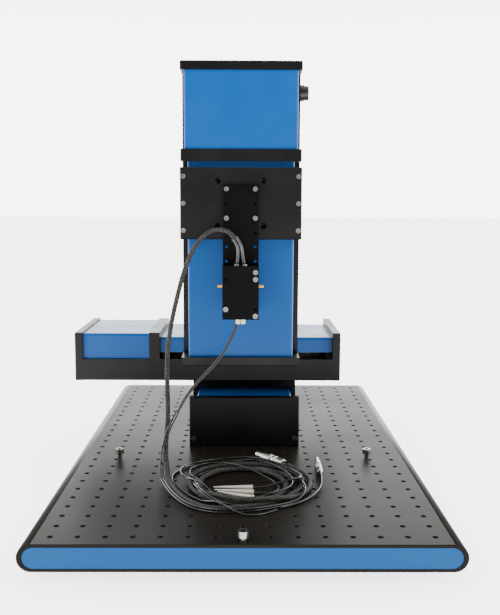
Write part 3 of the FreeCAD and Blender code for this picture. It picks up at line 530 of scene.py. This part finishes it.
# Outlines as (along, radius) from the tip, in mm
LARGE_PLUG = [
    (2.0, 0), (2.0, 2.9), (0, 2.9), (0, 3.4), (9.6, 3.4), (10, 3.7), (10.4, 4.4), (14, 4.5),
    (20.5, 5.1), *grooved(21.0, 26.0, 5.2, 0.2, 5), (26.4, 4.9), (27.0, 4.1), (28.4, 4.1),
    (28.8, 5.1), (32.5, 5.1), (33.0, 4.0), (34.4, 4.0), (35.0, 4.9), (43.5, 4.9), (45.5, 4.5),
    (46.5, 3.6), (46.6, 0)]
SMALL_PLUG = [
    (1.5, 0), (1.5, 1.9), (0, 1.9), (0, 2.4), (9.6, 2.4), (10, 2.7), (10.6, 3.2), (17, 3.4),
    (21.5, 3.7), *grooved(22.0, 27.0, 3.8, 0.2, 5), (27.4, 3.5), (28.0, 2.9), (29.6, 2.9),
    (30.2, 3.6), (33, 3.6), (33.4, 3.0), (34.4, 3.0), (35.0, 3.5), (45.5, 3.5), (47.5, 2.8),
    (48.5, 2.4), (48.6, 0)]
LARGE_BOOT = [(46.4, 0), (46.4, 3.2), (48, 3.2), (53, 2.95), (53, 0)]
SMALL_BOOT = [(48.5, 0), (48.5, 2.2), (50, 2.1), (55, 1.7), (60, 1.5), (60, 0)]
CLIP = [(0, 0), (0, 0.45), (0.4, 0.7), (14, 1.35), (28, 2.0), (40.8, 2.55), (41.6, 2.5), (42, 2.2),
        (42, 1.5), (38, 1.5), (38, 0)]

# Where the tips of the clips lie, as (x, y, angle)
CLIP_HEIGHT = 2.8
CLIP_PLACES = ((-31.8, 123.2, -1.2), (-30.3, 115.3, -10.4), (-27.0, 110.2, -25.6))


def add_plugs(materials):
    pieces = {"clips": []}
    for key, body, boot, tip, angle, node in (
            ("large", LARGE_PLUG, LARGE_BOOT, (16.4, 229.0, 5.5), -50.0, "large_plug"),
            ("small", SMALL_PLUG, SMALL_BOOT, (86.0, 215.5, 4.0), -90.7, "small_plug")):
        pieces[key] = turned_mesh(key + "_plug_body", body, tip, angle)
        fit(pieces[key], materials["nickel"], "base", node)
        sleeve = turned_mesh(key + "_plug_boot", boot, tip, angle)
        fit(sleeve, materials["lead_black"], "base")
    for number, (x, y, angle) in enumerate(CLIP_PLACES):
        clip = turned_mesh(f"lead_clip_{number + 1}", CLIP, (x, y, CLIP_HEIGHT), angle)
        fit(clip, materials["clip_cream"], "base", "lead_clips")
        pieces["clips"].append(clip)
    return pieces


# Grey tails from the head to the sleeve's mouth, and the bushing of the twin lead under the head

# Each tail goes up from its collar and leans over into the sleeve's mouth
TAILS = (
    [(-7.4, 187.0, 234.0), (-6.6, 187.0, 242.0), (-6.2, 186.0, 250.0), (-8.2, 183.6, 257.2),
     (-12.4, 182.2, 262.6)],
    [(0.0, 187.0, 234.0), (-1.2, 187.0, 242.0), (-2.2, 186.0, 250.0), (-4.4, 183.4, 258.2),
     (-9.2, 182.3, 265.2)],
)

# The bushing's place, and its outline as (down, radius)
BUSHING_TOP = (-8.15, 194.6, 174.1)
BUSHING = [(0, 2.6), (1.6, 2.6), (2.2, 2.3), (3.0, 2.2)]
BUSHING_SIDES = 24


def add_reliefs(materials):
    pieces = []
    for number, route in enumerate(TAILS):
        frames = frames_along(spline_points(route), 0.0)
        pieces.append(tube_mesh(f"grey_tail_{number + 1}", frames, TAIL, sides=20))
    x, y, top = BUSHING_TOP
    bm = bmesh.new()
    rings = [round_ring(bm, x, y, top - down, radius, BUSHING_SIDES) for down, radius in BUSHING]
    bm.faces.new(rings[0])
    for upper, lower in zip(rings, rings[1:]):
        ring_faces(bm, upper, lower, False)
    bm.faces.new(rings[-1])
    bmesh.ops.recalc_face_normals(bm, faces=bm.faces)
    pieces.append(add_piece("lead_bushing", bm))
    for piece in pieces:
        fit(piece, materials["relief_grey"], "z_carriage", "cable_reliefs")


# Base plate with round, chamfered holes, in mm as in the part's source

PLATE_HALF_WIDTH = 202
PLATE_HALF_THICKNESS = 13
PLATE_FRONT = -17.0
PLATE_REAR = 623.0
PLATE_EDGE = 0.5
STRIP_HALF_WIDTH = 197
STRIP_HALF_HEIGHT = 10
STRIP_DEPTH = 1
HOLE_PITCH = 25.0
HOLE_COLUMNS = 15
HOLE_ROWS = 25
HOLE_RADIUS = 2.5
HOLE_CHAMFER = 0.5
HOLE_DEPTH = 16
HOLE_POINT_DEPTH = 17.2


def round_ring(bm, x, y, z, radius, sides):
    turns = [2 * math.pi * i / sides for i in range(sides)]
    return [bm.verts.new(at(x + radius * math.cos(turn), y + radius * math.sin(turn), z))
            for turn in turns]


def ring_faces(bm, outer, inner, smooth):
    for i in range(len(outer)):
        j = (i + 1) % len(outer)
        face = bm.faces.new((outer[i], outer[j], inner[j], inner[i]))
        face.smooth = smooth


def drilled_cell(bm, x, y, sides=24):
    """A square of the plate's top with a chamfered hole in its middle."""
    turns = [2 * math.pi * i / sides for i in range(sides)]
    square = []
    for turn in turns:
        reach = HOLE_PITCH / 2 / max(abs(math.cos(turn)), abs(math.sin(turn)))
        square.append(bm.verts.new(at(x + reach * math.cos(turn), y + reach * math.sin(turn), 0)))
    rings = [square, round_ring(bm, x, y, 0, HOLE_RADIUS + HOLE_CHAMFER, sides),
             round_ring(bm, x, y, -HOLE_CHAMFER, HOLE_RADIUS, sides),
             round_ring(bm, x, y, -HOLE_DEPTH, HOLE_RADIUS, sides)]
    for number, (outer, inner) in enumerate(zip(rings, rings[1:])):
        ring_faces(bm, outer, inner, number > 0)
    bottom = bm.verts.new(at(x, y, -HOLE_POINT_DEPTH))
    for i in range(sides):
        bm.faces.new((rings[-1][i], rings[-1][(i + 1) % sides], bottom))


def stadium(half_width, half_height, y, steps=16):
    """Points round an upright outline with half-round ends, clockwise as seen from the front."""
    points = []
    for side, first in ((1, 90), (-1, 270)):
        for i in range(steps + 1):
            angle = math.radians(first - 180 * i / steps)
            points.append(at(side * (half_width - half_height) + half_height * math.cos(angle), y,
                             half_height * math.sin(angle) - PLATE_HALF_THICKNESS))
    return points


def plate_border(bm):
    """The flat strips of the top between the drilled cells and the plate's edges."""
    front, rear = PLATE_FRONT + PLATE_EDGE, PLATE_REAR - PLATE_EDGE
    flat = PLATE_HALF_WIDTH - PLATE_HALF_THICKNESS
    grid = HOLE_COLUMNS * HOLE_PITCH / 2
    near, far = -HOLE_PITCH / 2, (HOLE_ROWS - 0.5) * HOLE_PITCH
    for x0, x1, y0, y1 in ((-flat, -grid, front, rear), (grid, flat, front, rear),
                           (-grid, grid, front, near), (-grid, grid, far, rear)):
        corners = ((x0, y0), (x1, y0), (x1, y1), (x0, y1))
        bm.faces.new([bm.verts.new(at(x, y, 0)) for x, y in corners])


def plate_body(bm):
    """The plate's rounded sides, its back and its front with the strip's pocket."""
    body = (PLATE_HALF_WIDTH, PLATE_HALF_THICKNESS)
    end = (PLATE_HALF_WIDTH - PLATE_EDGE, PLATE_HALF_THICKNESS - PLATE_EDGE)
    sections = [stadium(*end, PLATE_FRONT), stadium(*body, PLATE_FRONT + PLATE_EDGE),
                stadium(*body, PLATE_REAR - PLATE_EDGE), stadium(*end, PLATE_REAR)]
    rings = [[bm.verts.new(point) for point in section] for section in sections]
    count = len(rings[0])
    for number, (near, far) in enumerate(zip(rings, rings[1:])):
        for i in range(count):
            j = (i + 1) % count
            if number == 1 and j == 0:
                continue  # the drilled top is there
            face = bm.faces.new((near[i], near[j], far[j], far[i]))
            face.smooth = number == 1
    bm.faces.new(rings[-1])
    strip = (STRIP_HALF_WIDTH, STRIP_HALF_HEIGHT)
    mouth = [bm.verts.new(point) for point in stadium(*strip, PLATE_FRONT)]
    floor = [bm.verts.new(point) for point in stadium(*strip, PLATE_FRONT + STRIP_DEPTH)]
    for i in range(count):
        j = (i + 1) % count
        bm.faces.new((rings[0][j], rings[0][i], mouth[i], mouth[j]))
        bm.faces.new((mouth[j], mouth[i], floor[i], floor[j]))
    bm.faces.new(list(reversed(floor)))


def add_plate(materials):
    bm = bmesh.new()
    for column in range(HOLE_COLUMNS):
        for row in range(HOLE_ROWS):
            drilled_cell(bm, (column - HOLE_COLUMNS // 2) * HOLE_PITCH, row * HOLE_PITCH)
    plate_border(bm)
    plate_body(bm)
    plate = add_piece("drilled_plate", bm)
    fit(plate, materials["plate_anodised"], "base", "base_plate")


# The CAD nodes that stay have their slots' materials, apart from these

FINISH = {"head_box": "head_black", "probe_bar": "head_black", "head_collars": "collar_nickel"}


def dress_nodes(frame, materials):
    for part in frame["record"]["subparts"]:
        node = frame["nodes"].get(part["node"])
        if node is None:
            continue
        node.data.materials.clear()
        node.data.materials.append(materials[FINISH.get(part["node"], part["material_slot"])])


# Studio

FLOOR_REACH = 20.0
LIGHT_TARGET = (0, 0, 0.2)


def add_floor():
    """A pale floor that glows more towards the back, so that it meets the backdrop."""
    mesh = bpy.data.meshes.new("floor")
    signs = ((-1, -1), (1, -1), (1, 1), (-1, 1))
    corners = [(x * FLOOR_REACH, y * FLOOR_REACH, 0) for x, y in signs]
    mesh.from_pydata(corners, [], [(0, 1, 2, 3)])
    floor = add_object("floor", mesh)
    material, tree, shader = new_material("floor")
    shader.inputs["Base Color"].default_value = (0.93, 0.93, 0.93, 1)
    shader.inputs["Roughness"].default_value = 0.8
    shader.inputs["Emission Color"].default_value = (1, 1, 1, 1)
    place = tree.nodes.new("ShaderNodeTexCoord")
    glow = graded(tree, place.outputs["Object"], (0.0, 1.0, 0.0), (-1.5, -0.55), (0.25, 3.0))
    tree.links.new(glow, shader.inputs["Emission Strength"])
    mesh.materials.append(material)


def add_light(name, place, size, power):
    data = bpy.data.lights.new(name, "AREA")
    data.shape = "RECTANGLE"
    data.size = data.size_y = size
    data.energy = power
    light = add_object(name, data)
    light.location = place
    ahead = Vector(LIGHT_TARGET) - Vector(place)
    light.rotation_euler = ahead.to_track_quat("-Z", "Y").to_euler()


def graded(tree, place, direction, reach, strength):
    """A strength that goes smoothly from one value to another along a direction."""
    towards = tree.nodes.new("ShaderNodeVectorMath")
    towards.operation = "DOT_PRODUCT"
    towards.inputs[1].default_value = direction
    tree.links.new(place, towards.inputs[0])
    spread = tree.nodes.new("ShaderNodeMapRange")
    spread.interpolation_type = "SMOOTHSTEP"
    for socket, value in zip(("From Min", "From Max", "To Min", "To Max"), (*reach, *strength)):
        spread.inputs[socket].default_value = value
    tree.links.new(towards.outputs["Value"], spread.inputs["Value"])
    return spread.outputs["Result"]


def add_studio():
    """A white backdrop, brightest low behind the object, a darker room in front and two lights."""
    add_floor()
    world = bpy.data.worlds.new("studio")
    world.use_nodes = True
    tree = world.node_tree
    place = tree.nodes.new("ShaderNodeTexCoord")
    behind = graded(tree, place.outputs["Generated"], (0.0, 0.8, 0.6), (-0.6, 0.7), (0.06, 2.4))
    low = graded(tree, place.outputs["Generated"], (0.0, 0.0, 1.0), (0.16, 0.42), (2.8, 1.0))
    product = tree.nodes.new("ShaderNodeMath")
    product.operation = "MULTIPLY"
    tree.links.new(behind, product.inputs[0])
    tree.links.new(low, product.inputs[1])
    tree.links.new(product.outputs["Value"], tree.nodes["Background"].inputs["Strength"])
    tree.nodes["Background"].inputs["Color"].default_value = (1, 1, 1, 1)
    bpy.context.scene.world = world
    add_light("key", (-1.8, -1.7, 1.6), 1.6, 48)
    add_light("fill", (1.9, -1.6, 1.3), 1.4, 36)


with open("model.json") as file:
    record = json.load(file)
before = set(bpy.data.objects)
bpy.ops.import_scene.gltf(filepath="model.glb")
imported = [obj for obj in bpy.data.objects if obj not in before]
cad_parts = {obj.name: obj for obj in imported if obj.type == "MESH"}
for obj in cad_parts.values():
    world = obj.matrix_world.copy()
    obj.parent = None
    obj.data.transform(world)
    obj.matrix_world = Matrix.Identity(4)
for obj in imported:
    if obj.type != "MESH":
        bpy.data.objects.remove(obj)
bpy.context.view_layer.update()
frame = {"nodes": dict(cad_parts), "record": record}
add_camera()
materials = make_materials()
plugs = add_plugs(materials)
add_cables(materials)
add_reliefs(materials)
add_plate(materials)
dress_nodes(frame, materials)
add_studio()
